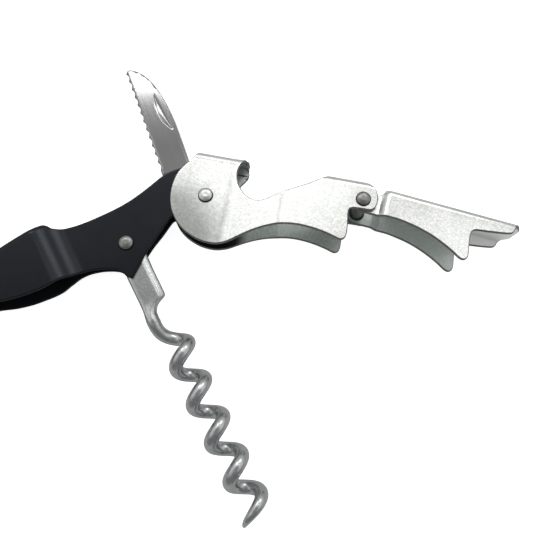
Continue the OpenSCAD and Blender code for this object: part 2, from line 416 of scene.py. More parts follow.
def plated(name, light, dark, rough, mottle=1.0, painted_light_spot=None, metal=1.0):
    """Bright plated sheet: cloudy patches, fine specks and a faint orange peel. painted_light_spot, when given, is a
    painted spot round one point: painted shade where its colour is dark, painted light where it is light.
    """
    m, nt, b = nodes_of(name)
    v = coords(nt)
    cloud = noise(nt, v, 190.0, 5.0, 0.6)
    speck = noise(nt, v, 1700.0, 3.0, 0.75)
    fac = mathn(nt, "ADD", mathn(nt, "MULTIPLY", cloud, 0.25), mathn(nt, "MULTIPLY", speck, 0.75))
    col = ramp(nt, fac, [(0.40, dark), (0.53, tuple((l + d) / 2 for l, d in zip(light, dark))), (0.60, light)])
    if painted_light_spot is not None:
        # painted light and shade round one point of the sheet, out to a radius: the colour there stands in for how
        # light falls on the sheet, not for the steel's own colour
        sub = node(nt, "ShaderNodeVectorMath", operation="DISTANCE")
        nt.links.new(v, sub.inputs[0])
        sub.inputs[1].default_value = painted_light_spot[0]
        near = node(nt, "ShaderNodeMapRange", interpolation_type="SMOOTHSTEP")
        nt.links.new(sub.outputs["Value"], near.inputs["Value"])
        near.inputs["From Min"].default_value = painted_light_spot[1]
        near.inputs["From Max"].default_value = painted_light_spot[2]
        inner = mix(nt, 1.0, col, painted_light_spot[3], "MULTIPLY") if len(painted_light_spot) > 4 else painted_light_spot[3]
        col = mix(nt, near.outputs["Result"], inner, col)
    nt.links.new(col, b.inputs["Base Color"])
    b.inputs["Metallic"].default_value = metal
    r = mathn(nt, "ADD", rough - 0.03 * mottle, mathn(nt, "MULTIPLY", cloud, 0.07 * mottle))
    nt.links.new(r, b.inputs["Roughness"])
    bump(nt, b, [(noise(nt, v, 30.0, 0.0, 0.3), 0.35, 0.06 * mottle), (noise(nt, v, 2300.0, 2.0, 0.6), 0.014, 0.35 * mottle)])
    return m


def ground(name, colour, rough, turn, grain=0.5, dark=None):
    """Steel with a fine straight grain."""
    m, nt, b = nodes_of(name)
    v = coords(nt)
    tc = coords(nt, (1, 1, 1), 0)
    mp = node(nt, "ShaderNodeMapping")
    mp.inputs["Rotation"].default_value = (0, 0, math.radians(-turn))
    nt.links.new(tc, mp.inputs["Vector"])
    ms = node(nt, "ShaderNodeMapping")
    ms.inputs["Scale"].default_value = (60, 4200, 4200)
    nt.links.new(mp.outputs["Vector"], ms.inputs["Vector"])
    lines = noise(nt, ms.outputs["Vector"], 1.0, 3.0, 0.6)
    cloud = noise(nt, v, 160.0, 4.0, 0.5)
    dark = dark or tuple(c * 0.78 for c in colour)
    fac = mathn(nt, "ADD", mathn(nt, "MULTIPLY", lines, grain), mathn(nt, "MULTIPLY", cloud, 1 - grain))
    nt.links.new(ramp(nt, fac, [(0.38, dark), (0.60, colour)]), b.inputs["Base Color"])
    b.inputs["Metallic"].default_value = 1.0
    nt.links.new(mathn(nt, "ADD", rough - 0.05, mathn(nt, "MULTIPLY", lines, 0.1)), b.inputs["Roughness"])
    bump(nt, b, [(lines, 0.004, 0.12)])
    return m


def coated(name, k=1.0, rough=0.36):
    """Satin black coating: fine orange peel, a little dust-grey at random."""
    m, nt, b = nodes_of(name)
    v = coords(nt)
    cloud = noise(nt, v, 120.0, 4.0, 0.55)
    fine = noise(nt, v, 2600.0, 2.0, 0.6)
    nt.links.new(ramp(nt, cloud, [(0.35, (0.0048 * k, 0.0053 * k, 0.0068 * k)), (0.7, (0.0082 * k, 0.0088 * k, 0.0108 * k))]), b.inputs["Base Color"])
    nt.links.new(mathn(nt, "ADD", rough, mathn(nt, "MULTIPLY", cloud, 0.10)), b.inputs["Roughness"])
    b.inputs["Specular IOR Level"].default_value = 0.32
    b.inputs["Specular Tint"].default_value = (0.80, 0.88, 1.0, 1.0)
    bump(nt, b, [(noise(nt, v, 45.0, 2.0, 0.4), 0.25, 0.3), (fine, 0.008, 0.35)])
    return m


# centre of the painted light on the lower lever's inner faces, at its tip
TIP_LIGHT_CENTRE = JOINT + Matrix.Rotation(math.radians(LOWER_A), 3, "Z") @ Vector((0.034, 0.001, -0.003))
# centre of the painted shade on the upper lever's inner faces, below the head
INSIDE_SHADE_CENTRE = HEAD + Vector((-0.0026, -0.0087, 0))
MAT = {
    # the head's plating is multiplied darker round a point below and left of the head: painted shade standing in for
    # the head's reflections, not a dull patch
    "lever": plated("lever_plating_painted_shade", (0.94, 0.945, 0.93), (0.70, 0.715, 0.685), 0.24, 0.8,
                    (tuple(HEAD + Vector((-0.009, -0.009, 0.004))), 0.0070, 0.0165, (0.56, 0.58, 0.56), "painted_shade")),
    # the upper lever's inner faces are painted near-black round the head's lower edge: painted shade and a painted
    # reflection of the black handle; their roughness is the plating's own
    "lever_inside": plated("lever_inside_dull_painted_shade", (0.62, 0.66, 0.635), (0.44, 0.475, 0.455), 0.40, 0.8,
                           (tuple(INSIDE_SHADE_CENTRE), 0.0100, 0.0135, (0.02, 0.021, 0.023)), 0.85),
    # the lower lever's inner faces are painted near-white round the tip: painted light on the tip's facets; their
    # roughness is the plating's own
    "lower_inside": plated("lower_inside_dull_painted_light", (0.74, 0.78, 0.755), (0.58, 0.62, 0.595), 0.40, 0.8,
                           (tuple(TIP_LIGHT_CENTRE), 0.0055, 0.0115, (0.97, 0.98, 0.96)), 0.7),
    # the levers' rims and bevels are painted dark grey: painted shade along the sheet's edges
    "edge": plated("edge_painted_shade", (0.25, 0.25, 0.245), (0.18, 0.18, 0.175), 0.34, 0.6),
    "handle": coated("black_coating", 0.6, 0.22),
    # the handle's inner faces and rims have half the outer coating's colour: painted shade inside the channel; the
    # higher roughness is the coating's own
    "handle_inside": coated("black_inside_painted_shade", 0.3, 0.6),
    "blade": ground("blade_steel", (0.30, 0.30, 0.302), 0.11, KNIFE_A, 0.2, (0.288, 0.288, 0.29)),
    "worm": plated("worm_steel", (0.57, 0.585, 0.587), (0.45, 0.465, 0.465), 0.23, 0.35),
    "rivet": plated("rivet_steel", (0.80, 0.80, 0.79), (0.60, 0.60, 0.59), 0.30, 0.8),
    "rivet_dull": plated("rivet_dull_steel", (0.34, 0.34, 0.335), (0.22, 0.22, 0.215), 0.32, 0.8),
    # near-black ring for the rivet heads' outer rim: painted contact shadow where each head meets the plate
    "ring": plated("rivet_rim_painted_shadow", (0.10, 0.10, 0.10), (0.05, 0.05, 0.05), 0.45, 0.5),
}


def settle(ob, body, node_name, material=None):
    if material:
        ob.data.materials.clear()
        ob.data.materials.append(MAT[material])
    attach(ob, body)
    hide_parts(node_name)


# ------------------------------------------------------------------ camera
cam = bpy.data.cameras.new("camera")
cam.sensor_width = 36
cam.lens = 39.27
cam.clip_start = 0.005
cam_ob = bpy.data.objects.new("camera", cam)
bpy.context.scene.collection.objects.link(cam_ob)
right = Vector((0.99974, 0.0, 0.02270))
up = Vector((-0.00523, 0.97312, 0.23025))
back = Vector((-0.02209, -0.23030, 0.97287))
place = Vector((0.013560, -0.051668, 0.138918)) + HEAD
cam_ob.matrix_world = Matrix(((right.x, up.x, back.x, place.x), (right.y, up.y, back.y, place.y),
                              (right.z, up.z, back.z, place.z), (0, 0, 0, 1)))
bpy.context.scene.camera = cam_ob

# ------------------------------------------------------------------ handle
HT = 0.9
HR = 1.3
narrow_top = [(-36.1, 9.4), (-34.9, 8.7), (-33.5, 8.1), (-30.6, 7.5), (-27.5, 7.2), (-24.3, 7.1),
    (-21.1, 7.1), (-17.7, 7.3), (-14.1, 7.9), (-10.3, 8.8), (-7.2, 9.6), (-4.5, 9.8), (-1.5, 9.4)]
narrow_head = [(-1.5, 9.4), (1.5, 8.1), (4.4, 6.0), (6.3, 3.2), (7.0, 0.2), (6.5, -2.6),
    (4.9, -5.0), (2.2, -6.6), (-1, -6.7), (-4, -5.2), (-6.3, -2.8), (-8.2, -1.3)]
narrow_slant = [(-8.2, -1.3), (-9.3, -0.8), (-10.8, -1.45), (-14.7, -3.75), (-19.0, -6.35), (-23.4, -9.5)]
narrow_low = [(-24.2, -10.05), (-25, -9.35), (-25.5, -7.95), (-26.3, -6.75), (-28.2, -5.55), (-30.8, -4.45),
    (-33, -3.85), (-35.4, -3.55)]
wide_low = [(-103.85, -2.9), (-103.9, -4.2), (-103, -5.1), (-101, -5.6), (-96, -5.6), (-91, -5.1), (-85, -4.2),
    (-79, -3), (-73, -1.6), (-68, -0.5), (-64, 0), (-60, -0.2), (-56.2, -1), (-54, -1.8), (-52, -2.5), (-50, -3),
    (-48, -3.4), (-45.5, -3.68), (-42.8, -3.88), (-40.5, -3.78), (-38.5, -3.5), (-35.4, -3.55)]
spine_line = [(-34.4, 11.3), (-36.4, 11.1), (-38.4, 10.85), (-41.5, 10.5), (-44.8, 10.1), (-48.1, 9.6), (-55, 8.3), (-62, 7.2),
    (-70, 6.2), (-80, 5.4), (-90, 4.6), (-97, 3.9), (-101.8, 2.4), (-104.6, -0.2), (-105.2, -2.6)]


def handle_half_width(x):
    return soft(-np.asarray(x, float), 34.65, 39.2, 2.2, 5.2, 2.1)


class Spine:
    """The closed back of the handle: arc length along its top line, and the
    distance folded over it."""

    def __init__(self, line, radius, half):
        self.p = resample(catmull(line, 6), 0.35, closed=False, corner=170)
        d = np.linalg.norm(np.diff(self.p, axis=0), axis=1)
        self.s = np.concatenate([[0], np.cumsum(d)])
        t = np.gradient(self.p, axis=0)
        for _ in range(6):
            t[1:-1] = (t[:-2] + t[1:-1] * 2 + t[2:]) / 4
        t /= np.linalg.norm(t, axis=1)[:, None]
        self.n = np.stack([-t[:, 1], t[:, 0]], 1)      # towards the plates
        self.r = radius
        self.flat = half - radius
        self.mid = radius * math.pi / 2 + self.flat

    def at(self, s):
        p = np.stack([np.interp(s, self.s, self.p[:, k]) for k in (0, 1)], -1)
        n = np.stack([np.interp(s, self.s, self.n[:, k]) for k in (0, 1)], -1)
        return p, n / np.linalg.norm(n, axis=-1)[..., None]

    def seam(self, s):
        p, n = self.at(np.asarray(s, float))
        return p + n * self.r

    def fold(self, sv):
        s, v = sv[:, 0], sv[:, 1]
        p, n = self.at(s)
        a = np.clip(v / self.r, 0, math.pi / 2)
        xy = p + n * (self.r - self.r * np.sin(a))[:, None]
        seam = p + n * self.r
        zo = handle_half_width(seam[:, 0])
        over = np.clip((v - self.r * math.pi / 2) / self.flat, 0, 1)
        z = (zo - self.r * (1 - np.cos(a)))
        z = np.where(over > 0, (zo - self.r) * (1 - over), z)
        return np.concatenate([xy, z[:, None]], 1)


spine = Spine(spine_line, HR, 5.2)
s_of_x = lambda x: float(np.interp(-x, -spine.p[:, 0][: int(len(spine.p) * 0.95)], spine.s[: int(len(spine.p) * 0.95)]))
s_in = s_of_x(-36.35)
seam_s = np.concatenate([np.arange(s_in, spine.s[-1] - 0.3, 0.5), [spine.s[-1]]])
seam = spine.seam(seam_s)

lower = path(catmull(narrow_low, 3), catmull(wide_low, 3)[::-1])
plate = path(catmull(narrow_top, 3)[1:], catmull(narrow_head, 3), catmull(narrow_slant, 3), lower)
plate_open = resample(plate, 0.5, closed=False)
plate_loop = np.concatenate([plate_open, seam[::-1][1:]])
if np.linalg.norm(plate_open[-1] - seam[-1]) > 0.3:
    plate_loop = np.concatenate([plate_open, seam[::-1]])
xs = np.concatenate([np.arange(-104, -41, 1.3), np.arange(-41, -32, 0.3), np.arange(-32, 8, 1.2)])
ys = np.arange(-10.5, 11, 1.15)
flat_v, flat_f = fill(plate_loop, [circle((0, 0), 1.55), circle((-21.8, -1.8), 1.5)], xs, ys)


def handle_fold(p):
    return np.concatenate([p, handle_half_width(p[:, 0])[:, None]], 1)


q = spine.r * math.pi / 2
top_right = catmull([(s_in, 0.0), (s_of_x(-36.9), 0.75), (s_of_x(-37.7), 1.5), (s_of_x(-38.4), 2.3), (s_of_x(-39.1), 3.4),
                     (s_of_x(-39.4), spine.mid)], 5)
back_edge = np.stack([seam_s, np.zeros(len(seam_s))], 1)
over_edge = np.stack([np.linspace(spine.s[-1], top_right[-1][0], 140), np.full(140, spine.mid)], 1)
end_edge = np.stack([np.full(9, spine.s[-1]), np.linspace(0, spine.mid, 11)[1:-1]], 1)
back_loop = np.concatenate([back_edge, end_edge, over_edge, resample(top_right, 0.4, closed=False)[::-1][1:-1]])
arc = np.linspace(0, q, 8)[1:]
bs, bv = np.arange(s_in + 0.5, spine.s[-1], 0.6), np.concatenate([arc, np.linspace(q, spine.mid, 5)[1:-1]])
back_v, back_f = fill(back_loop, [], bs, bv, inset=0.22)
back_f = back_f[:, ::-1]        # arc length runs towards the tail
def handle_far(q, p):
    q = q.copy()
    x, y = p[:, 0], p[:, 1]
    flat = np.abs(q[:, 2] + handle_half_width(x)) < 1e-6
    q[:, 1] += 0.3 * np.clip((-2.8 - y) / 2.0, 0, 1) * np.clip((x + 40) / 6, 0, 1) * np.clip((-10 - x) / 4, 0, 1) * flat
    return q


handle = sheet("handle_shell_sheet", [(flat_v, flat_f, handle_fold), (back_v, back_f, spine.fold)], HANDLE_A, HEAD, HT, 0.16, "handle", "handle_inside", rim=1, far=handle_far)
settle(handle, "handle", "handle_shell")


# ------------------------------------------------------------------ levers
def folded(x, v, zo, top, r, half):
    """The half pattern folded over the back: v runs up the plate, round the
    bend and across the back to the middle."""
    yb = top - r
    a = np.clip((v - yb) / r, 0, math.pi / 2)
    over = np.clip((v - yb - r * math.pi / 2) / (half - r), 0, 1)
    y = np.where(v < yb, v, yb + r * np.sin(a))
    z = np.where(over > 0, (zo - r) * (1 - over), zo - r * (1 - np.cos(a)))
    return y, z


def unroll(points, top, r):
    out = []
    for x, y in points:
        yb = top - r
        if y > yb:
            y = yb + r * math.asin(min(1, (y - yb) / r))
        out.append((x, y))
    return out


LT = 0.9
UH_TOP, UH_R, UH_HALF = 11.25, 2.1, 3.2
UJ_TOP, UJ_R, UJ_HALF = 9.75, 1.9, 6.2
UH_MID = UH_TOP - UH_R + UH_R * math.pi / 2 + UH_HALF - UH_R
UJ_MID = UJ_TOP - UJ_R + UJ_R * math.pi / 2 + UJ_HALF - UJ_R
upper_head = [(-4.2, 10.7), (-5.4, 8.3), (-7.0, 6.2), (-8.1, 3.8), (-8.5, 0.9), (-8.3, -2.0), (-7.5, -4.6), (-6.4, -6.5),
    (-4.9, -8.3), (-2.9, -9.8), (-0.4, -10.9), (1.9, -11.4), (4.5, -11.4), (6.9, -10.6), (9.1, -9.2),
    (11.4, -7.7), (13.8, -6.4), (16.2, -5.4), (18.6, -4.7), (21.6, -4.2), (24.8, -4.2), (28, -4.6),
    (31.0, -5.3), (32.8, -5.9)]
upper_tooth = [(32.8, -5.9), (33.7, -5.8), (34.4, -4.9), (34.5, -3.2), (34.3, -0.6), (34.1, 1.0), (34.3, 1.9), (35.1, 2.3)]
upper_ear = [(35.1, 2.3), (37.1, 2.4), (38.8, 2.4), (40.0, 3.0), (40.5, 4.4), (40.5, 6.0), (40.0, 7.5), (39.0, 8.7), (37.6, 9.6), (36.2, 9.9)]
upper_slope = [(28.7, 9.9), (27.9, 9.5), (26.9, 8.7), (24.3, 6.9), (21.3, 5.2), (18.4, 3.6), (15.5, 1.9), (14.0, 1.0),
    (12.5, 0.5), (10.8, 0.9), (9.3, 1.7), (8.2, 2.8), (7.3, 4.0), (6.7, 5.5), (6.4, 7.0), (6.5, 8.4),
    (7.0, 9.7), (8.0, 11.25)]


def upper_half_width(x):
    return soft(np.asarray(x, float), 6.1, 18.1, 3.2, 6.2, 1.6, 0.7)


def upper_fold(p):
    x, v = p[:, 0], p[:, 1]
    head = x < 18
    zo = upper_half_width(x)
    y1, z1 = folded(x, v, zo, UH_TOP, UH_R, UH_HALF)
    y2, z2 = folded(x, v, zo, UJ_TOP, UJ_R, UJ_HALF)
    y, z = np.where(head, y1, y2), np.where(head, z1, z2)
    yb = UH_TOP - UH_R
    # a shallow set line where the head's back begins, and the turned-down lip
    z = z - np.where(head & (x < 9), 0.09 * np.exp(-((v - yb + 0.05) / 0.20) ** 2), 0)
    bent = np.clip((v - yb) / UH_R, 0, 1) * head
    y = y - 0.10 * np.clip(x - 7.5, 0, 2) ** 2 * bent
    # the head's plates are very slightly dished
    z = z - 0.05 * np.clip((x * x + v * v) / 90.0, 0, 1.2) * (x < 6) * (v < yb)
    return np.stack([x, y, z], 1)


def upper_far(q, p):
    """The far plate's lip is longer: a blunt tooth over the notch."""
    x, v = p[:, 0], p[:, 1]
    dx = np.interp(v, [3.8, 5.2, 6.1, 7.2, 8.4, 9.2, 10.2, 12.4, 13.4], [0, 0.2, 0.75, 1.7, 2.3, 2.0, 1.2, 0.4, 0])
    q = q.copy()
    q[:, 0] += dx * np.clip((x - 2.2) / 3.6, 0, 1) * (x < 12)
    return q


up_left = unroll(catmull(upper_head, 3), UH_TOP, UH_R)
up_tooth = catmull(upper_tooth, 4)
up_ear = unroll(catmull(upper_ear, 3), UJ_TOP, UJ_R)
slope = catmull(upper_slope, 3)
up_slope = unroll([p for p in slope if p[0] >= 18], UJ_TOP, UJ_R) + unroll([p for p in slope if p[0] < 18], UH_TOP, UH_R)
joint_end = catmull([(36.2, UJ_TOP - UJ_R + UJ_R * math.pi / 2), (36.75, 11.0), (37.1, 11.7), (37.2, 12.6), (37.2, UJ_MID)], 5)
joint_start = catmull([(28.1, UJ_MID), (28.15, 12.4), (28.3, 11.5), (28.7, UJ_TOP - UJ_R + UJ_R * math.pi / 2)], 5)
head_end = [(8.0, UH_TOP - UH_R + UH_R * math.pi / 2), (8.6, 12.7), (8.7, UH_MID)]
head_start = [(-3.75, UH_MID), (-3.8, 12.6), (-3.9, UH_TOP - UH_R + UH_R * math.pi / 2)]
up_loop = resample(path(up_left, up_tooth, up_ear, joint_end, joint_start, up_slope, head_end, head_start), 0.5)
xs = np.concatenate([np.arange(-9, 4, 1.0), np.arange(4, 22, 0.7), np.arange(22, 41, 1.0)])
bend = lambda top, r, half: np.concatenate([top - r + np.linspace(0, r * math.pi / 2, 9), top - r + r * math.pi / 2 + np.linspace(0, half - r, 4)[1:-1]])
ys = np.concatenate([np.arange(-11.5, 7.4, 1.0), np.arange(7.4, 8.6, 0.25), bend(UJ_TOP, UJ_R, UJ_HALF)])
head_rows = np.concatenate([[8.5, 8.66, 8.78, 8.9, 9.02, 9.2], bend(UH_TOP, UH_R, UH_HALF)[2:]])
gx, gy = np.meshgrid(np.arange(-4.5, 9, 0.55), head_rows)
extra = np.stack([gx.ravel(), gy.ravel()], 1)
gx, gy = np.meshgrid(xs, ys)
lattice = np.stack([gx.ravel(), gy.ravel()], 1)
lattice = lattice[~((lattice[:, 0] < 18) & (lattice[:, 1] > 8.3))]
v, f = fill(up_loop, [circle((0, 0), 1.55), circle((37.1, 4.9), 1.5)], [], [], inset=0.35, extra=np.concatenate([extra, lattice]))
upper = sheet("upper_lever_sheet", [(v, f, upper_fold)], UPPER_A, HEAD, LT, 0.24, "lever", "lever_inside", rim=2, far=upper_far)
settle(upper, "lever", "upper_lever")

LL_TOP, LL_R, LL_HALF = 4.3, 1.8, 6.2
LL_Q = LL_TOP - LL_R + LL_R * math.pi / 2
LL_MID = LL_Q + LL_HALF - LL_R
lower_foot = [(4.1, -2.7), (6.2, -2.7), (8.6, -2.7), (11.1, -3.0), (14.3, -3.6), (17.6, -4.6), (20.9, -6.0), (23.3, -7.3)]
lower_tooth = [(23.3, -7.3), (24.6, -8.1), (25.7, -8.3), (26.5, -7.6), (26.6, -6.3), (26.3, -3.8), (26.2, -1.9), (26.5, -0.8), (27.3, -0.3)]
lower_tip = [(27.3, -0.3), (29.5, 0.0), (32.6, 0.5), (35.0, 1.0), (35.8, 1.5), (36.15, 2.4)]
tip_pattern = [(36.15, 2.4), (36.4, 3.3), (36.8, 4.2), (37.4, 5.2), (37.85, 6.0), (38.1, 6.6), (38.2, 7.2), (38.2, 8.0), (38.2, LL_MID)]


def lower_fold(p):
    x, v = p[:, 0], p[:, 1]
    zo = soft(x, 4.2, 5.6, 5.05, 6.2, 0.4)
    y, z = folded(x, v, zo, LL_TOP, LL_R, LL_HALF)
    y = y + (0.10 - 0.42 * (x - 5) / 33) * np.clip((v + 3) / 5, 0, 1) * np.clip((x - 4.6) / 2, 0, 1)
    return np.stack([x, y, z], 1)


ear = [(2.7 * math.cos(math.radians(a)), 2.7 * math.sin(math.radians(a))) for a in range(90, 271, 9)]
ll_loop = resample(path(ear, [(2, -2.7)], catmull(lower_foot, 3), catmull(lower_tooth, 4), catmull(lower_tip, 3),
                        catmull(tip_pattern, 3), [(5.1, LL_MID), (5.1, LL_Q + 0.6)],
                        unroll([(4.95, 4.3), (4.7, 3.6), (4.3, 2.85), (3.5, 2.35), (2.5, 2.2), (1.3, 2.42)], LL_TOP, LL_R)), 0.5)
xs = np.concatenate([np.arange(-3, 3.2, 0.9), np.arange(3.3, 6.4, 0.3), np.arange(7.2, 39, 1.0)])
ys = np.concatenate([np.arange(-8.5, 2.2, 0.9), bend(LL_TOP, LL_R, LL_HALF)])
v, f = fill(ll_loop, [circle((0, 0), 1.55)], xs, ys, inset=0.35)
lower_ob = sheet("lower_lever_sheet", [(v, f, lower_fold)], LOWER_A, JOINT, LT, 0.24, "lever", "lower_inside", rim=2)
settle(lower_ob, "lever_end", "lower_lever")


# ------------------------------------------------------------------ rivets
def lathe(name, profile, origin, n=64):
    """profile: points of (radius, z), turned about Z."""
    verts, faces, rows = [], [], []
    for r, z in profile:
        if r < 1e-6:
            rows.append([len(verts)])
            verts.append((origin[0], origin[1], origin[2] + z * MM))
        else:
            rows.append(list(range(len(verts), len(verts) + n)))
            for k in range(n):
                a = 2 * math.pi * k / n
                verts.append((origin[0] + r * MM * math.cos(a), origin[1] + r * MM * math.sin(a), origin[2] + z * MM))
    for a, b in zip(rows[:-1], rows[1:]):
        for k in range(n):
            j = (k + 1) % n
            if len(a) == 1:
                faces.append((a[0], b[j], b[k]))
            elif len(b) == 1:
                faces.append((a[k], a[j], b[0]))
            else:
                faces.append((a[k], a[j], b[j], b[k]))
    return make(name, verts, faces)


def rivet(name, origin, half, flat, body, node_name, steel="rivet", collar=None):
    """A shank with a domed head at each end; flat is how much of the dome's
    top was levelled in riveting."""
    hr, hh = 1.8, 0.9
    dome = [(1.5, half), (1.56, half + 0.01), (1.72, half + 0.02), (hr - 0.02, half + 0.10), (hr, half + 0.17)]
    for a in np.linspace(12, 90, 16):
        rad = hr * math.cos(math.radians(a)) ** 0.92
        z = half + 0.13 + (hh - 0.13) * math.sin(math.radians(a)) ** 1.05
        z = min(z, half + hh - flat * (1 - (rad / hr)) * 0.35)
        dome.append((rad if a < 90 else 0.0, z))
    if collar:
        dome = [(1.5, collar - 0.22), (1.9, collar - 0.2), (1.9, collar), (1.5, collar)] + dome
    profile = [(r, -z) for r, z in dome[::-1]] + dome
    ob = lathe(name, profile, origin)
    w = ob.modifiers.new("normals", "WEIGHTED_NORMAL")
    w.weight = 50
    bake(ob)
    settle(ob, body, node_name, steel)
    ob.data.materials.append(MAT["ring"])
    # the head's outer rim takes a near-black material: painted contact shadow where the head meets the plate
    for f in ob.data.polygons:
        d = f.center - Vector(origin)
        if math.hypot(d.x, d.y) > 1.64 * MM:
            f.material_index = 1
    return ob


rivet("head_rivet_domed", HEAD, 3.23, 0.25, "pivot", "head_rivet")
rivet("worm_rivet_domed", WORM, 2.2, 0.15, "handle", "worm_rivet", "rivet_dull")
rivet("joint_rivet_domed", JOINT, 6.2, 0.1, "lever", "joint_rivet", "rivet_dull", 4.12)
for n in ("knife_washer_front", "knife_washer_rear"):
    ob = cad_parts[n]
    ob.data.materials.clear()
    ob.data.materials.append(MAT["rivet"])

# ------------------------------------------------------------------ knife
knife_back = [(10.5, 0.70), (15, 0.55), (19.4, 0.5), (22.8, 0.55), (26.5, 0.87), (29.7, 1.35), (32.7, 2.02),
    (35.2, 2.9), (37.0, 3.85), (38.7, 5.2), (39.78, 6.8), (39.74, 7.6), (39.1, 8.1)]
knife_root = [(9.6, 8.0), (8.6, 6.6), (6.4, 5.4), (3.2, 5.0), (-0.4, 4.4), (-3.2, 3.0), (-4.3, 0.4),
    (-3.6, -2.4), (-1.2, -4.1), (1.8, -4.0), (4.6, -2.4), (7.4, -0.2), (10.5, 0.7)]
TOOTH, SCALLOP, EDGE = 2.36, 0.45, 8.1
SC_R = (TOOTH * TOOTH / 4 + SCALLOP * SCALLOP) / (2 * SCALLOP)
serrated = []
for i in range(11, -1, -1):
    cx = 11.1 + (i + 0.5) * TOOTH
    for k in range(0, 9):
        u = TOOTH / 2 - k * TOOTH / 8
        serrated.append((cx + u, EDGE - (math.sqrt(SC_R ** 2 - u * u) - (SC_R - SCALLOP))))
knife_loop = resample(path(catmull(knife_root, 3), catmull(knife_back, 3), [(39.42, EDGE)], serrated, [(11.1, EDGE), (9.7, 8.1)]), 0.32, corner=20)
NICK = np.array([25.8, 2.35])
NICK_R, NICK_H = 9.9, 1.7


def nick_depth(p):
    """How deep the nail nick is at each point, in mm."""
    c, s = math.cos(math.radians(-8)), math.sin(math.radians(-8))
    d = p - NICK
    x, y = d[:, 0] * c - d[:, 1] * s, d[:, 0] * s + d[:, 1] * c
    arc = NICK_R - np.hypot(x, y - (NICK_H - NICK_R))     # inside the arc when positive
    wall = np.clip(y / 0.36, 0, 1)
    tall = np.sqrt(np.maximum(NICK_R ** 2 - x * x, 0)) + (NICK_H - NICK_R)      # chord to arc
    floor = np.clip(arc / np.maximum(tall - 0.2, 0.3), 0, 1)
    return 0.44 * wall * (1 - (1 - floor) ** 1.25)


def half_thick(p):
    y = p[:, 1]
    h = np.interp(y, [-8, 7.62, 8.12], [0.6, 0.6, 0.30])
    on_edge = (p[:, 0] > 10.6) & (p[:, 0] < 39.6)
    i = np.clip(np.floor((p[:, 0] - 11.0) / TOOTH), 0, 11)
    u = (p[:, 0] - 11.0 - (i + 0.5) * TOOTH) / (TOOTH / 2)
    hollow = np.clip(1 - u * u, 0, 1) * np.clip((y - 7.5) / 0.6, 0, 1) * on_edge
    h = h - 0.08 * hollow
    far = p[:, 0] < 9.6
    return np.where(far, np.interp(y, [-8, 7.0, 8.1], [0.6, 0.6, 0.3]), h)


def knife_mesh():
    outer = ccw(knife_loop)
    gx, gy = np.meshgrid(np.arange(-4, 40, 1.0), np.arange(-4, 6.0, 0.9))
    base = np.stack([gx.ravel(), gy.ravel()], 1)
    gx, gy = np.meshgrid(np.arange(9.8, 39.5, 0.295), [6.4, 7.0, 7.3, 7.5, 7.62, 7.8])
    edge = np.stack([gx.ravel(), gy.ravel()], 1)
    gx, gy = np.meshgrid(np.arange(19.2, 32.2, 0.22), np.arange(0.8, 5.2, 0.16))
    around = np.stack([gx.ravel(), gy.ravel()], 1)
    base = base[(np.abs(base[:, 0] - 25.7) > 6.7) | (base[:, 1] > 5.3) | (base[:, 1] < 0.7)]
    edge = edge[distance(edge, outer) > 0.36]
    around = around[distance(around, outer) > 0.3]
    loops = [outer, circle((0, 0), 1.55)]
    v, f = fill(loops[0], [loops[1]], [], [], inset=0.14, extra=np.concatenate([around, edge, base]))
    d = np.min([distance(v, l) for l in loops], axis=0)
    rim = d < 0.02
    h = half_thick(v)
    h = np.where(rim, np.maximum(h - 0.05, 0.03), h)
    top = np.concatenate([v, (h - nick_depth(v))[:, None]], 1)
    low = np.concatenate([v, -h[:, None]], 1)
    n = len(v)
    faces = [tuple(t) for t in f] + [tuple(t[::-1] + n) for t in f]
    count = {}
    for a, b, c in f:
        for e in ((a, b), (b, c), (c, a)):
            count[e] = 1
    for (a, b) in count:
        if (b, a) not in count:
            faces.append((b, a, a + n, b + n))
    verts = to_row(np.concatenate([top, low]), KNIFE_A, HEAD)
    ob = make("knife_blade_ground", verts, faces)
    w = ob.modifiers.new("normals", "WEIGHTED_NORMAL")
    w.weight = 70
    bake(ob)
    return ob


settle(knife_mesh(), "knife", "knife_blade", "blade")

# ------------------------------------------------------------------ worm
WIRE, COIL, PITCH, TURNS = 1.6, 2.6, 9.25, 5
HALF_S, RAMP, TAPER, POINT = 22.9, 3.8, 6.0, 0.36
END = HALF_S + TURNS * PITCH
RATE = 2 * math.pi / PITCH
c01 = lambda t: max(0.0, min(1.0, t))


def w_angle(s):
    if s < HALF_S - RAMP:
        return 0.0
    if s > HALF_S + RAMP:
        return RATE * (s - HALF_S)
    return RATE * (s - HALF_S + RAMP) ** 2 / (4 * RAMP)


def w_rad(s):
    r = WIRE - (WIRE - POINT) * c01((s - END + TAPER) / TAPER) ** 2.4
    k = c01((s - END + 0.32) / 0.32)
    return r * math.sqrt(max(1 - k * k, 0.02))


def w_coil(s):
    r = WIRE - (WIRE - POINT) * c01((s - END + TAPER) / TAPER) ** 2.4
    return COIL - 0.6 * (1 - c01((s - 14) / 8)) + (WIRE - r)


def w_side(s):
    """The shank and the run-in do not lie quite on the coil's own axis."""
    return float(np.interp(s, [3, 7, 15, 22, 30, 37], [0, -0.27, -0.27, 0.2, 0.3, 0]))


def w_point(s):
    a = w_angle(s)
    return np.array([s, w_side(s) - w_coil(s) * math.cos(a), -w_coil(s) * math.sin(a)])


def blend(t):
    t = c01(t)
    return t * t * (3 - 2 * t)


N = 40
SH = 3.15
flat_profile = np.array([(-SH, -0.75), (-SH + 0.12, -0.95), (-SH + 0.62, -1.25), (0, -1.25), (SH - 1.3, -1.25), (SH - 0.06, -0.66),
                         (SH, -0.5), (SH, 0.5), (SH - 0.06, 0.66), (SH - 1.3, 1.25), (0, 1.25), (-SH + 0.62, 1.25), (-SH + 0.12, 0.95), (-SH, 0.75)])


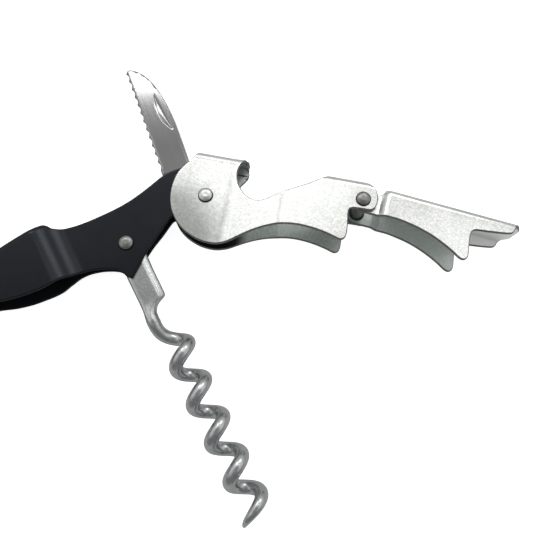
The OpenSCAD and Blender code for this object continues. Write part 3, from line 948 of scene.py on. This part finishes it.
def around_profile(poly, n):
    """n points of a closed outline, one for each direction from its middle,
    as a ray meets it."""
    out = []
    m = len(poly)
    for k in range(n):
        a = 2 * math.pi * (k + 0.5) / n
        # directions are crowded towards the corners of a flat section
        d = np.array([math.cos(a) * SH, math.sin(a) * 1.25])
        d /= np.linalg.norm(d)
        best = None
        for i in range(m):
            p, q = poly[i], poly[(i + 1) % m]
            e = q - p
            den = d[0] * e[1] - d[1] * e[0]
            if abs(den) < 1e-12:
                continue
            t = (p[0] * e[1] - p[1] * e[0]) / den
            u = (p[0] * d[1] - p[1] * d[0]) / den
            if t > 0 and -1e-9 <= u <= 1 + 1e-9 and (best is None or t < best):
                best = t
        out.append(d * best)
    return np.array(out)


FLAT = around_profile(flat_profile, N)
ROUND = np.array([(math.cos(2 * math.pi * (k + 0.5) / N), math.sin(2 * math.pi * (k + 0.5) / N)) for k in range(N)])
shoulder = np.array(catmull([(13.9, 3.15), (14.9, 3.02), (15.4, 2.3), (15.9, 1.1), (16.7, 0.1), (17.8, -0.55), (19.2, -0.72), (21.0, -0.55)], 6))


def worm_ring(s):
    # the section's right side follows the shoulder, and its left side stays
    t = blend((s - 14.2) / 5.6)
    if s < 0:
        half = math.sqrt(max(SH * SH - s * s, 0.0025))
        f = FLAT.copy()
        f[:, 0] *= half / SH
        f[:, 1] *= min(1.0, 0.62 + 0.38 * half / 0.9)
        return np.stack([np.full(N, s), f[:, 0], f[:, 1]], 1)
    if s < 13.9:
        return np.stack([np.full(N, s), w_side(s) + FLAT[:, 0], FLAT[:, 1]], 1)
    p = w_point(s)
    tan = w_point(s + 0.02) - w_point(s - 0.02)
    tan /= np.linalg.norm(tan)
    a = w_angle(s)
    v = np.array([0, -math.sin(a), math.cos(a)])
    v = v - tan * (v @ tan)
    v /= np.linalg.norm(v)
    u = np.cross(v, tan)
    r = w_rad(s)
    if s > 21:
        # drawn wire, round in section
        rr = ROUND * r
        return p + rr[:, :1] * u + rr[:, 1:] * v
    right_y = float(np.interp(s, shoulder[:, 0], shoulder[:, 1])) + w_side(s)
    left_y = (1 - t) * (w_side(s) - SH) + t * (p[1] - r)
    k = t ** 1.2
    cy, hw = (right_y + left_y) / 2, (right_y - left_y) / 2
    hz = 1.25 * (1 - k) + r * k
    sec = FLAT / np.array([SH, 1.25]) * (1 - k) + ROUND * k
    flat_ring = np.stack([np.full(N, s), cy + sec[:, 0] * hw, p[2] + sec[:, 1] * hz], 1)
    rr = ROUND * r
    round_ring = p + rr[:, :1] * u + rr[:, 1:] * v
    m = blend((s - 18.2) / 2.8)
    return flat_ring * (1 - m) + round_ring * m


def worm_mesh():
    ss = [-SH * math.cos(math.radians(a)) for a in range(4, 91, 6)]
    ss += [0.8, 2, 4, 6, 8, 10, 12, 13.0, 13.6]
    ss += list(np.arange(13.9, 21.4, 0.2))
    ss += list(np.linspace(21.5, END - 0.34, 300)) + [END - 0.32 + 0.31 * math.sin(math.radians(a)) for a in range(8, 90, 9)]
    rings = [worm_ring(s) for s in ss]
    verts = np.concatenate(rings)
    faces = []
    for i in range(len(rings) - 1):
        for k in range(N):
            j = (k + 1) % N
            faces.append((i * N + k, i * N + j, (i + 1) * N + j, (i + 1) * N + k))
    for first, order in ((0, -1), (len(rings) - 1, 1)):
        c = rings[first].mean(axis=0)
        verts = np.concatenate([verts, [c]])
        m = len(verts) - 1
        for k in range(N):
            j = (k + 1) % N
            tri = (first * N + k, first * N + j, m)
            faces.append(tri if order == 1 else tri[::-1])
    faces = [f[::-1] for f in faces]
    ob = make("worm_wire", to_row(verts, WORM_A, WORM), faces)
    bm = bmesh.new()
    bm.from_mesh(ob.data)
    bmesh.ops.recalc_face_normals(bm, faces=bm.faces)
    bm.to_mesh(ob.data)
    bm.free()
    tool = lathe("worm_bore_tool", [(0.0, -3), (1.55, -3), (1.55, 3), (0.0, 3)], WORM, 48)
    b = ob.modifiers.new("bore", "BOOLEAN")
    b.operation = "DIFFERENCE"
    b.solver = "EXACT"
    b.object = tool
    w = ob.modifiers.new("normals", "WEIGHTED_NORMAL")
    w.weight = 40
    bake(ob)
    bpy.data.objects.remove(tool)
    return ob


settle(worm_mesh(), "screw", "worm", "worm")

# ------------------------------------------------------------------ stage
floor_me = bpy.data.meshes.new("floor")
floor_me.from_pydata([(-2, -2, 0), (2, -2, 0), (2, 2, 0), (-2, 2, 0)], [], [(0, 1, 2, 3)])
floor = bpy.data.objects.new("floor", floor_me)
bpy.context.scene.collection.objects.link(floor)
fm, nt, b = nodes_of("pale_floor")
b.inputs["Base Color"].default_value = (0.93, 0.93, 0.93, 1)
b.inputs["Roughness"].default_value = 0.9
b.inputs["Specular IOR Level"].default_value = 0.1
b.inputs["Emission Color"].default_value = (1, 1, 1, 1)
# the sweep is bright to look at and grey in the metal
lp = node(nt, "ShaderNodeLightPath")
seen = mathn(nt, "SUBTRACT", 1.0, lp.outputs["Is Glossy Ray"])
nt.links.new(mathn(nt, "MULTIPLY", seen, 0.85), b.inputs["Emission Strength"])
nt.links.new(mix(nt, lp.outputs["Is Glossy Ray"], (0.93, 0.93, 0.93), (0.74, 0.74, 0.74)), b.inputs["Base Color"])
floor_me.materials.append(fm)


def softbox(name, at, to, size, power, spread=180):
    l = bpy.data.lights.new(name, "AREA")
    l.shape = "RECTANGLE"
    l.size, l.size_y = size
    l.energy = power
    l.spread = math.radians(spread)
    o = bpy.data.objects.new(name, l)
    bpy.context.scene.collection.objects.link(o)
    o.location = at
    d = Vector(to) - Vector(at)
    o.rotation_euler = d.to_track_quat("-Z", "Y").to_euler()
    return o


def glow(radiance, size):
    return radiance * math.pi * size[0] * size[1]


for name, at, size, turn, radiance in (
        ("back_left", (-0.155, 0.434, 0.55), (0.22, 0.14), 0, 5.5),
        ("nick", (0.23, 0.50, 0.55), (0.26, 0.21), 0, 4.0),
        ("main", (0.044, 0.231, 0.55), (0.184, 0.138), 0, 1.25),
        ("left", (-0.245, 0.215, 0.55), (0.16, 0.13), 0, 0.80),
        ("strip", (-0.110, 0.215, 0.55), (0.110, 0.13), 0, 0.10),
        ("right", (0.25, 0.155, 0.55), (0.17, 0.082), 0, 1.3)):
    o = softbox(name, at, (at[0] * 0.6, at[1] * 0.6, 0), size, glow(radiance, size))
    o.rotation_euler = (0, 0, math.radians(turn))

world = bpy.data.worlds.new("studio")
bpy.context.scene.world = world
world.use_nodes = True
nt = world.node_tree
nt.nodes.clear()
out = nt.nodes.new("ShaderNodeOutputWorld")
bg = nt.nodes.new("ShaderNodeBackground")
nt.links.new(bg.outputs[0], out.inputs[0])
tc = nt.nodes.new("ShaderNodeTexCoord")
sep = nt.nodes.new("ShaderNodeSeparateXYZ")
nt.links.new(tc.outputs["Generated"], sep.inputs[0])
sky = (ramp(nt, sep.outputs["Z"], [(0.0, (0.40, 0.40, 0.40)), (0.25, (0.46, 0.465, 0.46)), (0.45, (0.74, 0.74, 0.74)), (0.60, (0.95, 0.95, 0.95)), (0.80, (0.85, 0.85, 0.85)), (0.90, (0.52, 0.52, 0.52)), (0.95, (0.37, 0.37, 0.37)), (1.0, (0.36, 0.36, 0.36))]))
side = node(nt, "ShaderNodeMapRange", interpolation_type="SMOOTHSTEP")
nt.links.new(sep.outputs["Y"], side.inputs["Value"])
side.inputs["From Min"].default_value = -0.65
side.inputs["From Max"].default_value = 0.05
nt.links.new(mix(nt, side.outputs["Result"], (0.24, 0.24, 0.245), sky), bg.inputs["Color"])
bg.inputs["Strength"].default_value = 1.0

bpy.context.scene.view_settings.view_transform = "Standard"

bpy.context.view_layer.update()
